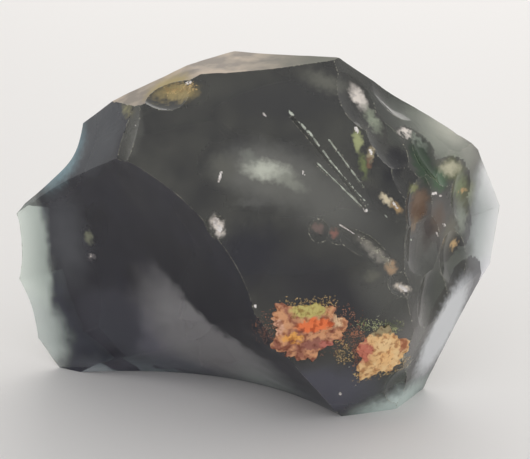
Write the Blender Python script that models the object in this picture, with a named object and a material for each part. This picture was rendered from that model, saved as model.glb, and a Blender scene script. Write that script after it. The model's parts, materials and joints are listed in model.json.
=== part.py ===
"""A tektite: one lump of black natural glass with broken, shell-like faces and two crusts of rusty soil.

Lengths are in millimetres and angles in degrees until they reach Blender, which is in metres.
The lump stands on z = 0 with its broad face towards -Y. The origin is the middle of its footprint.
"""

import math

import bmesh
import bpy
from mathutils import Matrix, Vector
from mathutils.bvhtree import BVHTree

MM = 0.001
NAME = "tektite"

# Driving sizes of the whole lump
WIDTH = 76.0
DEPTH = 41.0
HEIGHT = 55.0
SPARE = 3.0

# Length of the cells that a curved face is made of, and how far a cutter stands off the lump
CELL = 2.4
FINE_CELL = 0.9
CLEAR = 30.0

# The glass faces. Each row: name, a point of the face, the way it faces (azimuth from -Y towards +X,
# elevation), its radii sideways and upwards, and its roll. Radius 0 is flat, a positive one is dished
# like a shell scar and a negative one is domed.
FRONT_FACES = (
    ("front_dome", (-3, -21.2, 21), (0, 4), (-70, -42), 0),
    ("front_scar", (-11.2, -11.9, 22), (-37, -8), (100, 84), 0),
    ("under_scoop", (-2.2, -11.9, 8.3), (-29, -36), (55, -60), 0),
    ("scar_foot", (-9.8, -11.1, 12.7), (-33, -20), (44, 50), 0),
    ("left_shoulder", (-24.4, -5.7, 41.4), (-59, 31), (0, 0), 0),
    ("right_slope", (21.6, -6.5, 43.4), (46, 41), (0, 0), 0),
    ("right_face", (31.0, -4.0, 31.6), (51, 8), (0, 0), 0),
    ("right_low", (30.0, -7.0, 12.4), (54, -12), (0, 0), 0),
    ("crest", (0, -2, 53.5), (-90, 86), (0, 0), 0),
    ("crest_left", (-14.6, -5.0, 50.4), (-71, 66), (0, 0), 0),
)

# The scoops behind the left and right edges leave them thin enough to let light through. Each row: name,
# a point of the edge, the way the scoop faces, its radius further in, half its length and its roll.
THIN_EDGE_SCOOPS = (
    ("edge_left_1", (-37.0, -0.7, 33.4), (171, 24), 8, 15, 35),
    ("edge_left_2", (-39.0, 2.8, 21.4), (177, 9), 8, 32, 3),
    ("edge_left_3", (-37.6, 3.3, 9.9), (175, -4), 8, 30, -16),
    ("edge_left_4", (-33.2, 2.2, 2.0), (-176, -18), 10, 22, -48),
    ("edge_right_1", (37.4, 4.2, 33.2), (-144, -1), 9, 20, -27),
    ("edge_right_2", (39.1, 4.2, 23.6), (-145, -15), 9, 22, 22),
    ("edge_right_3", (30.6, -3.6, 9.0), (-158, -10), 12, 22, 28),
)

BACK_FACES = (
    ("back", (0, 19.3, 30.3), (180, 2), (-70, -80), 0),
    ("back_top", (1, 12.4, 45.6), (180, 36), (-60, -80), 0),
    ("back_low", (0, 12.7, 4.0), (180, -34), (-80, -80), 0),
    ("back_left", (-28.7, 12.7, 27.3), (-154, 5), (0, -80), 0),
    ("back_right", (30.8, 13.6, 27.3), (162, 2), (0, -80), 0),
    ("crest_back", (-7.0, 3.0, 52.9), (-136, 52), (0, 0), 0),
    ("crest_back_right", (3.0, 3.0, 53.4), (158, 46), (0, 0), 0),
    ("left_top_back", (-27.6, 4.6, 42.8), (-116, 36), (0, -90), 0),
    ("right_top_back", (25.6, 5.9, 41.9), (136, 50), (0, 0), 0),
    ("back_scar_high", (7, 14.6, 40), (166, 24), (42, 30), 10),
    ("back_scar_low", (-10, 16.2, 13), (-168, -12), (44, 34), -15),
)

# Small chips. Each row: name, the side it is on, where it is on that side (x, z), the way it faces,
# its radii, its roll and how deep it bites. A long radius makes a long, narrow chip.
CHIPS = (
    ("arc_chip", "front", (-6.0, 32.6), (-20, 26), (1.8, 5.0), -32, 0.7),
    ("shoulder_chip", "front", (-19.3, 44.5), (-36, 34), (2.6, 34), 8, 0.7),
    ("stain_chip", "front", (-12.6, 49.6), (-38, 62), (4.5, 11), 70, 0.9),
    ("ridge_scar_1", "front", (16.6, 48.2), (26, 44), (9, 14), 0, 0.6),
    ("ridge_scar_2", "front", (19.8, 43.6), (36, 34), (7, 12), 10, 0.8),
    ("ridge_scar_3", "front", (22.6, 38.6), (30, 26), (6, 14), 15, 0.7),
    ("ridge_scar_4", "front", (25.4, 33.4), (42, 12), (7, 10), 0, 0.9),
    ("ridge_scar_5", "front", (27.2, 27.0), (36, 10), (9, 12), 10, 0.8),
    ("ridge_scar_6", "front", (28.2, 20.0), (40, -2), (8, 14), 0, 0.7),
    ("slope_scar", "front", (22.5, 46.2), (50, 50), (6, 16), 30, 0.5),
    ("green_hollow", "front", (25.6, 41.0), (60, 26), (5, 12), 10, 0.9),
    ("rim_scar", "front", (30.2, 37.0), (42, 20), (6, 8), 30, 0.9),
    ("face_scar_1", "front", (32.0, 31.0), (58, 14), (6, 9), -10, 0.7),
    ("face_scar_2", "front", (31.2, 24.6), (46, -2), (7, 10), 20, 0.8),
    ("spot_chip", "front", (22.4, 22.2), (22, 22), (2.4, 5), 60, 0.6),
    ("streak_chip", "front", (17.2, 28.8), (14, 24), (2.0, 26), 58, 0.5),
    ("red_pit_left", "front", (9.3, 32.6), (10, 14), (2.2, 3.2), 10, 0.5),
    ("red_pit_right", "front", (12.0, 31.7), (12, 12), (2.0, 2.6), 40, 0.4),
    ("foot_chip", "front", (22.6, 3.0), (30, 4), (4, 6), 40, 0.8),
    ("back_chip_1", "back", (-14, 43), (-160, 46), (5, 9), 50, 0.9),
    ("back_chip_2", "back", (20, 12), (150, -24), (6, 9), -30, 1.0),
    ("back_chip_3", "back", (17, 31), (146, 8), (4, 12), -12, 0.9),
    ("back_chip_4", "back", (-22, 24), (-144, 0), (5, 10), 14, 0.9),
)

# The raised lines where the break tore: from and to (x, z) on the front, and the step's depth
TEAR_LINES = (
    ("tear_long", (5.4, 47.9), (16.6, 34.9), 0.15),
    ("tear_middle", (10.9, 44.4), (16.1, 37.8), 0.12),
    ("tear_short", (9.1, 41.5), (15.7, 35.3), 0.12),
)
TEAR_RADIUS = 0.15

# The two crusts: place on the front (x, z), half width, half height, and how wavy the edge is
CRUSTS = (
    ("rust_crust_left", (7.5, 17.3), 5.8, 4.7, (0.10, 0.9), (0.07, 2.4)),
    ("rust_crust_right", (19.2, 12.0), 3.8, 4.5, (0.09, 2.2), (0.08, 0.4)),
)
CRUST_TOP = 0.75
CRUST_BOTTOM = 0.8
CRUST_LUMP = 0.22
GAP = 0.3

GLASS_COLOUR = (0.022, 0.022, 0.026, 1.0)
RUST_COLOUR = (0.55, 0.20, 0.09, 1.0)
OCHRE_COLOUR = (0.62, 0.34, 0.15, 1.0)


def clear_scene():
    for thing in list(bpy.data.objects):
        bpy.data.objects.remove(thing, do_unlink=True)


def collection(name):
    made = bpy.data.collections.new(name)
    bpy.context.scene.collection.children.link(made)
    return made


def material(name, colour, roughness):
    made = bpy.data.materials.new(name)
    made.use_nodes = True
    shader = made.node_tree.nodes["Principled BSDF"]
    shader.inputs["Base Color"].default_value = colour
    shader.inputs["Roughness"].default_value = roughness
    shader.inputs["Metallic"].default_value = 0.0
    return made


def direction(azimuth, elevation):
    a = math.radians(azimuth)
    e = math.radians(elevation)
    return Vector((math.sin(a) * math.cos(e), -math.cos(a) * math.cos(e), math.sin(e)))


def face_frame(at, faces, roll):
    """The matrix, in metres, that lays local +Z along the way a face looks."""
    out = direction(*faces)
    side = Vector((0, 0, 1)).cross(out).normalized()
    up = out.cross(side)
    turn = Matrix.Rotation(math.radians(roll), 3, "Z")
    axes = Matrix((side, up, out)).transposed() @ turn
    return Matrix.Translation(Vector(at) * MM) @ axes.to_4x4()


def rise(radius, distance):
    """How far a face of this radius has risen or dropped at a distance from its middle."""
    return distance * distance / (2 * radius) if radius else 0.0


def reach_of(radius):
    """Half the length of a cutter: to the far side of the lump, or to where a tight scoop has left it."""
    whole = WIDTH * 0.62
    return min(whole, math.sqrt(2 * radius * CLEAR)) if radius > 0 else whole


def slab(name, cells, shape, thickness, frame):
    """A closed block. Its lower side is a sheet that shape(x, y) lays out for x and y from -1 to 1."""
    mesh = bpy.data.meshes.new(name)
    bm = bmesh.new()
    bmesh.ops.create_grid(bm, x_segments=cells[0], y_segments=cells[1], size=1.0)
    raised = bmesh.ops.extrude_face_region(bm, geom=bm.faces[:], use_keep_orig=True)
    lid = {v for v in raised["geom"] if isinstance(v, bmesh.types.BMVert)}
    for v in bm.verts:
        across, along, height = shape(v.co.x, v.co.y)
        if v in lid:
            height = thickness
        v.co = Vector((across, along, height)) * MM
    bmesh.ops.recalc_face_normals(bm, faces=bm.faces[:])
    bm.to_mesh(mesh)
    bm.free()
    block = bpy.data.objects.new(name, mesh)
    block.matrix_world = frame
    return block


def cutter(name, at, faces, radii, roll, cell=CELL):
    """A block whose lower side is the wanted face and that covers everything outside it."""
    reach = [reach_of(radius) for radius in radii]
    cells = [max(1, round(2 * reach[k] / cell)) if radii[k] else 1 for k in (0, 1)]

    def shape(x, y):
        across = x * reach[0]
        along = y * reach[1]
        return across, along, rise(radii[0], across) + rise(radii[1], along)

    top = CLEAR + max(0.0, rise(radii[0], reach[0]) + rise(radii[1], reach[1]))
    return slab(name, cells, shape, top, face_frame(at, faces, roll))


def edge_scoop(name, at, faces, radius, half_length, roll):
    """A block that digs a long shell scar behind an edge: straight to the edge, round further in, with
    steep ends."""
    reach = reach_of(radius)
    inwards = 1 if at[0] > 0 else -1

    def shape(x, y):
        across = x * reach
        return across, y * half_length, rise(radius, max(0.0, across * inwards)) + CLEAR * y ** 6

    cells = (round(2 * reach / CELL), round(2 * half_length / CELL))
    return slab(name, cells, shape, CLEAR * 2.2, face_frame(at, faces, roll))


def cut(body, block, cutters):
    """Take a block away from the body. The block stays in the file as a hidden wire shape."""
    block.hide_render = True
    block.display_type = "WIRE"
    cutters.objects.link(block)
    knife = body.modifiers.new(block.name, "BOOLEAN")
    knife.operation = "DIFFERENCE"
    knife.object = block
    knife.solver = "EXACT"


def blank(name):
    """The block that the faces are broken from: it stands on z = 0 and has some spare on its other sides."""
    mesh = bpy.data.meshes.new(name)
    bm = bmesh.new()
    size = Vector((WIDTH + 2 * SPARE, DEPTH + 2 * SPARE, HEIGHT + SPARE))
    bmesh.ops.create_cube(bm, size=1.0)
    bmesh.ops.scale(bm, verts=bm.verts[:], vec=size * MM)
    bmesh.ops.translate(bm, verts=bm.verts[:], vec=(0, 0, size.z * MM / 2))
    bm.to_mesh(mesh)
    bm.free()
    return bpy.data.objects.new(name, mesh)


def surface(body):
    """The body as it is cut so far, in a form that rays can be cast at."""
    bpy.context.view_layer.update()
    return BVHTree.FromObject(body, bpy.context.evaluated_depsgraph_get())


def on_side(tree, side, place):
    """The point of the front or the back that lies straight behind a place (x, z), and which way it faces."""
    away = 1 if side == "front" else -1
    start = Vector((place[0], -away * 2 * DEPTH, place[1])) * MM
    hit, normal, _, _ = tree.ray_cast(start, Vector((0, away, 0)))
    return hit / MM, normal


def chip(tree, name, side, place, faces, radii, roll, depth):
    """A small scoop out of the face that lies at a place."""
    hit, _ = on_side(tree, side, place)
    at = hit - direction(*faces) * depth
    return cutter(name, at, faces, radii, roll, FINE_CELL)


def tear_line(tree, name, start, end, depth):
    """A long, shallow groove between two places of the front, bent to follow it."""
    middle = [(a + b) / 2 for a, b in zip(start, end)]
    first, _ = on_side(tree, "front", start)
    last, _ = on_side(tree, "front", end)
    hit, out = on_side(tree, "front", middle)
    along = (last - first).normalized()
    out = (out - along * out.dot(along)).normalized()
    length = (last - first).length
    bow = (hit - (first + last) / 2).dot(out)
    bend = -length * length / (8 * bow)
    half_width = math.sqrt(2 * TEAR_RADIUS * 3 * depth)

    def shape(x, y):
        s = x * length / 2
        t = y * half_width
        return s, t, rise(bend, s) + rise(TEAR_RADIUS, t) - depth

    axes = Matrix((along, out.cross(along), out)).transposed()
    frame = Matrix.Translation(hit * MM) @ axes.to_4x4()
    return slab(name, (round(length / CELL), 8), shape, 3.0, frame)


def crust_shape(name, frame, half_width, half_height, waves, spare, top, lump):
    """A flat lump that follows the domed front, with a wavy edge; spare makes it that much bigger."""
    mesh = bpy.data.meshes.new(name)
    bm = bmesh.new()
    bmesh.ops.create_icosphere(bm, subdivisions=3, radius=1.0)
    dome = FRONT_FACES[0][3]
    for v in bm.verts:
        x, y, z = v.co
        angle = math.atan2(y, x)
        edge = 1 + sum(size * math.sin((3 + 2 * k) * angle + start)
                       for k, (size, start) in enumerate(waves))
        s = x * (half_width * edge + spare)
        t = y * (half_height * edge + spare)
        bumps = lump * math.sin(1.9 * s + 0.6 * t) * math.sin(1.6 * t - 0.5 * s + 1) * max(0.0, z)
        height = z * top if z > 0 else z * (CRUST_BOTTOM + spare)
        v.co = Vector((s, t, height + bumps + rise(dome[0], s) + rise(dome[1], t))) * MM
    bm.to_mesh(mesh)
    bm.free()
    made = bpy.data.objects.new(name, mesh)
    made.matrix_world = frame
    return made


def crusts(tree, body, parts, cutters):
    """Two crusts of rusty soil, each sitting in a shallow pit of the glass with a small gap."""
    colours = {"rust_crust_left": RUST_COLOUR, "rust_crust_right": OCHRE_COLOUR}
    for name, place, half_width, half_height, *waves in CRUSTS:
        hit, out = on_side(tree, "front", place)
        side = Vector((0, 0, 1)).cross(out).normalized()
        axes = Matrix((side, out.cross(side), out)).transposed()
        frame = Matrix.Translation(hit * MM) @ axes.to_4x4()
        crust = crust_shape(name, frame, half_width, half_height, waves, 0.0, CRUST_TOP, CRUST_LUMP)
        crust.data.materials.append(material(name, colours[name], 0.9))
        parts.objects.link(crust)
        pit = crust_shape(name + "_pit", frame, half_width, half_height, waves, GAP, 4.0, 0.0)
        cut(body, pit, cutters)


def glass_body(parts, cutters):
    body = blank("glass_body")
    body.data.materials.append(material("black_glass", GLASS_COLOUR, 0.08))
    parts.objects.link(body)
    for row in FRONT_FACES:
        cut(body, cutter(*row), cutters)
    for row in THIN_EDGE_SCOOPS:
        cut(body, edge_scoop(*row), cutters)
    for row in BACK_FACES:
        cut(body, cutter(*row), cutters)
    tree = surface(body)
    for row in CHIPS:
        cut(body, chip(tree, *row), cutters)
    for row in TEAR_LINES:
        cut(body, tear_line(tree, *row), cutters)
    crusts(tree, body, parts, cutters)


def main():
    clear_scene()
    parts = collection(NAME)
    cutters = collection("cutters")
    glass_body(parts, cutters)


main()
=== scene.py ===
"""The look of a tektite: a lump of black natural glass with thin see-through edges and two rusty crusts.

Lengths are in millimetres and angles in degrees until they reach Blender, which is in metres.
The lump stands on z = 0 with its broad face towards -Y. The origin is the middle of its footprint.
"""

import json
import math

import bmesh
import bpy
import numpy as np
from mathutils import Matrix, Vector, noise
from mathutils.bvhtree import BVHTree

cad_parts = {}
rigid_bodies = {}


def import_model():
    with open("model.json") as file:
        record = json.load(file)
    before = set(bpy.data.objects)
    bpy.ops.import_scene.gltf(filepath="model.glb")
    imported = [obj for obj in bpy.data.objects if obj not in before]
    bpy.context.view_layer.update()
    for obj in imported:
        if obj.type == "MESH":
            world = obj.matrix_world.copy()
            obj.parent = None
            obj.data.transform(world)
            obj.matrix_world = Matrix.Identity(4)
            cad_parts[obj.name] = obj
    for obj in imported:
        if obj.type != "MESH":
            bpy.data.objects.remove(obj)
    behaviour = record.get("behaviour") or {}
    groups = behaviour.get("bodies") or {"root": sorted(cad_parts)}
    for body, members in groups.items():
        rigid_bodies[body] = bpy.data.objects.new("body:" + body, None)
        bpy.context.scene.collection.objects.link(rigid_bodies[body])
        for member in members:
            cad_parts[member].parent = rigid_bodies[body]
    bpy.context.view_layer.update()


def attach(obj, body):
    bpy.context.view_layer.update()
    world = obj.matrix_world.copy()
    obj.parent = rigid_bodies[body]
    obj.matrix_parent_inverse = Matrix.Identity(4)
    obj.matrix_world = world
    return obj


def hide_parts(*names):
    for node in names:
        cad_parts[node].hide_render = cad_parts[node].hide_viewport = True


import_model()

MM = 0.001

# Driving sizes of the whole lump
WIDTH = 76.0
DEPTH = 41.0
HEIGHT = 55.0
SPARE = 3.0

# Length of the cells that a curved face is made of, and how far a cutter stands off the lump
CELL = 0.54
FINE_CELL = 0.30
CLEAR = 30.0

# Half the length of a cutter that is not tight, as a share of the lump's width
CUTTER_REACH = 0.62

# The glass faces. Each row: name, a point of the face, the way it faces (azimuth from -Y towards +X,
# elevation), its radii sideways and upwards, and its roll. Radius 0 is flat, a positive one is dished
# like a shell scar and a negative one is domed.
FRONT_FACES = (
    ("front_dome", (-3, -21.2, 21), (0, 4), (-70, -42), 0),
    ("front_scar", (-11.2, -11.9, 22), (-37, -8), (100, 84), 0),
    ("under_scoop", (-2.2, -11.9, 8.3), (-29, -36), (55, -60), 0),
    ("scar_foot", (-9.8, -11.1, 12.7), (-33, -20), (44, 50), 0),
    ("left_shoulder", (-24.4, -5.7, 41.4), (-59, 31), (0, 0), 0),
    ("right_slope", (21.6, -6.5, 43.4), (46, 41), (0, 0), 0),
    ("right_face", (31.0, -4.0, 31.6), (51, 8), (0, 0), 0),
    ("right_low", (30.0, -7.0, 12.4), (54, -12), (0, 0), 0),
    ("crest", (0, -2, 53.5), (-90, 86), (0, 0), 0),
    ("crest_left", (-14.6, -5.0, 50.4), (-71, 66), (0, 0), 0),
)

# The scoops behind the left and right edges leave them thin enough to let light through. Each row: name,
# a point of the edge, the way the scoop faces, its radius further in, half its length and its roll.
THIN_EDGE_SCOOPS = (
    ("edge_left_1", (-37.0, -0.7, 33.4), (171, 24), 8, 15, 35),
    ("edge_left_2", (-39.0, 2.8, 21.4), (177, 9), 8, 32, 3),
    ("edge_left_3", (-37.6, 3.3, 9.9), (175, -4), 8, 30, -16),
    ("edge_left_4", (-33.2, 2.2, 2.0), (-176, -18), 10, 22, -48),
    ("edge_right_1", (37.4, 4.2, 33.2), (-144, -1), 9, 20, -27),
    ("edge_right_2", (39.1, 4.2, 23.6), (-145, -15), 9, 22, 22),
    ("edge_right_3", (30.6, -3.6, 9.0), (-158, -10), 12, 22, 28),
)

BACK_FACES = (
    ("back", (0, 19.3, 30.3), (180, 2), (-70, -80), 0),
    ("back_top", (1, 12.4, 45.6), (180, 36), (-60, -80), 0),
    ("back_low", (0, 12.7, 4.0), (180, -34), (-80, -80), 0),
    ("back_left", (-28.7, 12.7, 27.3), (-154, 5), (0, -80), 0),
    ("back_right", (30.8, 13.6, 27.3), (162, 2), (0, -80), 0),
    ("crest_back", (-7.0, 3.0, 52.9), (-136, 52), (0, 0), 0),
    ("crest_back_right", (3.0, 3.0, 53.4), (158, 46), (0, 0), 0),
    ("left_top_back", (-27.6, 4.6, 42.8), (-116, 36), (0, -90), 0),
    ("right_top_back", (25.6, 5.9, 41.9), (136, 50), (0, 0), 0),
    ("back_scar_high", (7, 14.6, 40), (166, 24), (42, 30), 10),
    ("back_scar_low", (-10, 16.2, 13), (-168, -12), (44, 34), -15),
)

# Small chips. Each row: name, the side it is on, where it is on that side (x, z), the way it faces,
# its radii, its roll and how deep it bites. A long radius makes a long, narrow chip.
CHIPS = (
    ("arc_chip", "front", (-6.0, 32.6), (-20, 26), (1.8, 5.0), -32, 0.7),
    ("shoulder_chip", "front", (-19.3, 44.5), (-36, 34), (2.6, 34), 8, 0.7),
    ("stain_chip", "front", (-12.6, 49.6), (-38, 62), (4.5, 11), 70, 0.9),
    ("ridge_scar_1", "front", (16.6, 48.2), (26, 44), (9, 14), 0, 0.6),
    ("ridge_scar_2", "front", (19.8, 43.6), (36, 34), (7, 12), 10, 0.8),
    ("ridge_scar_3", "front", (22.6, 38.6), (30, 26), (6, 14), 15, 0.7),
    ("ridge_scar_4", "front", (25.4, 33.4), (42, 12), (7, 10), 0, 0.9),
    ("ridge_scar_5", "front", (27.2, 27.0), (36, 10), (9, 12), 10, 0.8),
    ("ridge_scar_6", "front", (28.2, 20.0), (40, -2), (8, 14), 0, 0.7),
    ("slope_scar", "front", (22.5, 46.2), (50, 50), (6, 16), 30, 0.5),
    ("green_hollow", "front", (25.6, 41.0), (60, 26), (5, 12), 10, 0.9),
    ("rim_scar", "front", (30.2, 37.0), (42, 20), (6, 8), 30, 0.9),
    ("face_scar_1", "front", (32.0, 31.0), (58, 14), (6, 9), -10, 0.7),
    ("face_scar_2", "front", (31.2, 24.6), (46, -2), (7, 10), 20, 0.8),
    ("spot_chip", "front", (22.4, 22.2), (22, 22), (2.4, 5), 60, 0.6),
    ("streak_chip", "front", (17.2, 28.8), (14, 24), (2.0, 26), 58, 0.5),
    ("red_pit_left", "front", (9.3, 32.6), (10, 14), (2.2, 3.2), 10, 0.5),
    ("red_pit_right", "front", (12.0, 31.7), (12, 12), (2.0, 2.6), 40, 0.4),
    ("foot_chip", "front", (22.6, 3.0), (30, 4), (4, 6), 40, 0.8),
    ("back_chip_1", "back", (-14, 43), (-160, 46), (5, 9), 50, 0.9),
    ("back_chip_2", "back", (20, 12), (150, -24), (6, 9), -30, 1.0),
    ("back_chip_3", "back", (17, 31), (146, 8), (4, 12), -12, 0.9),
    ("back_chip_4", "back", (-22, 24), (-144, 0), (5, 10), 14, 0.9),
)

# The shallow grooves where the break tore: from and to (x, z) on the front, and how deep they are
TEAR_LINES = (
    ("tear_long", (5.4, 47.9), (16.6, 34.9), 0.15),
    ("tear_middle", (10.9, 44.4), (16.1, 37.8), 0.12),
    ("tear_short", (9.1, 41.5), (15.7, 35.3), 0.12),
)
TEAR_RADIUS = 0.15

# Small specks and stains of the glass, and painted highlights: the bright specks are painted glints, the
# lighter lines along the tear lines and a crack are crushed glass with painted highlights, and lighter grains
# on a streak are painted highlights too. Each row: material, from and to (x, y, z), half width, how dense.
# A dense one is solid with a ragged edge, a thin one breaks up into grains.
MARKS = (
    ("painted_glint", (-5.1, -15.2, 40.6), (-5.5, -15.6, 39.4), 0.26, 0.9),
    ("painted_glint", (-5.9, -18.0, 34.0), (-5.4, -18.7, 32.8), 0.6, 1.2),
    # lighter lines along the tear lines: crushed glass with painted highlights
    ("frost_and_painted_highlight", (5.0, -9.6, 48.2), (8.3, -11.3, 45.1), 0.24, 1.1),
    ("frost_and_painted_highlight", (8.3, -11.3, 45.1), (11.3, -13.1, 41.4), 0.17, 1.2),
    ("frost_and_painted_highlight", (11.3, -13.1, 41.4), (16.7, -14.7, 35.4), 0.17, 1.1),
    ("frost_and_painted_highlight", (10.9, -11.3, 44.4), (16.1, -13.8, 37.8), 0.16, 1.1),
    ("frost_and_painted_highlight", (9.1, -13.5, 41.5), (15.7, -15.1, 35.3), 0.16, 1.1),
    ("painted_glint", (16.2, -15.2, 34.8), (16.4, -15.2, 34.6), 0.34, 1.3),
    ("painted_glint", (1.2, -10.0, 48.0), (1.4, -10.2, 47.6), 0.28, 1.0),
    ("painted_glint", (7.0, -14.4, 40.4), (7.2, -14.6, 40.0), 0.22, 1.0),
    ("painted_glint", (15.0, -9.5, 45.6), (15.2, -9.8, 45.2), 0.32, 1.6),
    ("painted_glint", (17.1, -11.0, 42.6), (17.3, -11.2, 42.2), 0.30, 1.6),
    ("painted_glint", (29.2, -4.8, 37.4), (30.0, -4.2, 37.2), 0.34, 1.4),
    ("painted_glint", (27.1, -7.9, 34.6), (27.7, -7.4, 34.4), 0.26, 1.7),
    ("painted_glint", (28.3, -6.8, 33.8), (28.7, -6.5, 33.6), 0.22, 1.7),
    ("painted_glint", (30.8, -4.0, 32.8), (31.3, -3.6, 32.6), 0.26, 1.7),
    ("painted_glint", (20.6, -13.8, 35.2), (21.2, -13.7, 34.4), 0.20, 1.5),
    ("painted_glint", (25.3, -10.6, 32.5), (25.9, -10.2, 32.1), 0.26, 1.7),
    ("painted_glint", (23.5, -13.2, 31.6), (23.7, -13.2, 31.2), 0.20, 1.6),
    ("painted_glint", (29.1, -6.9, 29.1), (29.4, -6.7, 28.7), 0.26, 1.6),
    ("painted_glint", (28.0, -8.5, 28.1), (28.2, -8.4, 27.6), 0.22, 1.6),
    ("painted_glint", (26.0, -11.0, 27.6), (26.3, -10.9, 27.0), 0.30, 1.7),
    ("painted_glint", (27.6, -9.5, 25.3), (27.9, -9.4, 24.9), 0.22, 1.6),
    ("frost_and_painted_highlight", (19.3, -14.7, 33.7), (26.8, -10.7, 25.0), 0.12, 0.8),
    ("painted_glint", (12.5, -16.9, 32.9), (15.8, -16.8, 30.5), 0.18, 1.5),
    ("pale_and_painted_highlight", (16.0, -16.8, 30.3), (20.4, -16.5, 26.4), 0.7, 0.36),
    ("painted_glint", (21.9, -16.4, 22.6), (22.8, -16.0, 21.8), 0.34, 1.3),
    ("ochre", (-13.4, -6.0, 50.4), (-9.6, -6.6, 51.2), 0.9, 0.5),
    ("painted_glint", (-10.6, -6.4, 51.6), (-9.9, -6.2, 51.9), 0.35, 0.9),
    ("painted_glint", (-18.1, -8.6, 46.2), (-18.1, -8.8, 46.0), 0.28, 1.0),
    ("painted_glint", (-26.7, -2.3, 21.9), (-26.6, -2.3, 21.6), 0.28, 0.6),
    ("painted_glint", (-26.8, -2.6, 10.6), (-26.4, -2.6, 10.5), 0.25, 0.8),
    ("painted_glint", (-0.1, -21.1, 21.7), (-0.1, -21.1, 21.5), 0.28, 1.0),
    ("painted_glint", (13.0, -17.5, 5.0), (13.1, -17.5, 4.8), 0.30, 1.0),
    ("rust", (3.6, -21.0, 17.2), (12.0, -20.0, 17.2), 4.9, 0.30),
    ("ochre", (4.6, -20.6, 21.0), (11.0, -20.2, 21.2), 2.0, 0.36),
    ("ochre", (12.8, -19.4, 15.0), (13.6, -19.2, 12.0), 1.6, 0.42),
    ("green", (15.2, -18.8, 17.6), (21.6, -17.3, 16.2), 1.3, 0.34),
    ("rust", (15.0, -18.8, 16.6), (16.4, -18.4, 10.0), 1.8, 0.5),
    ("ochre", (16.0, -18.4, 8.0), (23.0, -16.6, 9.0), 1.6, 0.35),
    ("pale_and_painted_highlight", (22.6, -16.0, 10.4), (23.8, -14.8, 8.6), 1.2, 0.5),
)

# A mark reaches further in depth than across, so that it finds the surface
DEPTH_COUNTS = np.array((1, 0.35, 1))

# Longest side of the small faces under a mark or along a sharp edge with painted highlights, after each round
# of splitting
MARK_CELLS = (0.30, 0.16, 0.16)

# How far beyond a mark the faces are split too
MARK_MARGIN = 0.3

# From this density on a mark is solid. Its edge lies where its cover falls to the second value, and the
# third one says how ragged that edge is.
SOLID = 0.7
SOLID_EDGE = 0.42
SOLID_GRAIN = 0.3

# Edges sharper than this get painted highlights in places, and edges sharper than the second one look like
# edges
HIGHLIGHT_EDGE_ANGLE = 24
CREASE_ANGLE = 28

# How much of a sharp edge gets a painted highlight, and how far above the base the painted highlights begin
EDGE_HIGHLIGHT_SHARE = 0.34
EDGE_HIGHLIGHT_ABOVE = 0.5

# How far the faces that show a soft patch of bruising, stain or painted light reach, as a share of its size
BRUISE_AND_PAINTED_LIGHT_REACH = 1.15

# The glass: the share of light that its surface scatters instead of letting through, and what the rest
# goes through
CLOUDY = 0.20
GLASS_ROUGHNESS = 0.10
GLASS_IOR = 1.5
GLASS_ABSORBS = (0.10, 0.20, 0.17)
GLASS_DENSITY = 330.0
BRUISE_AND_PAINTED_LIGHT_ROUGHNESS = 0.12

# The materials of the lump. The scar is of the same glass as the rest, and is only tinted otherwise: its
# darker tint is painted shade, and its lighter patches are painted reflections.
LOOKS = ("glass", "crest", "bruise_and_painted_light", "frost_and_painted_highlight", "painted_glint", "pale_and_painted_highlight", "green", "ochre", "rust")
SCAR_FACES = ("front_scar", "under_scoop", "scar_foot", "left_shoulder")
CREST_FACES = ("crest", "crest_left")

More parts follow.
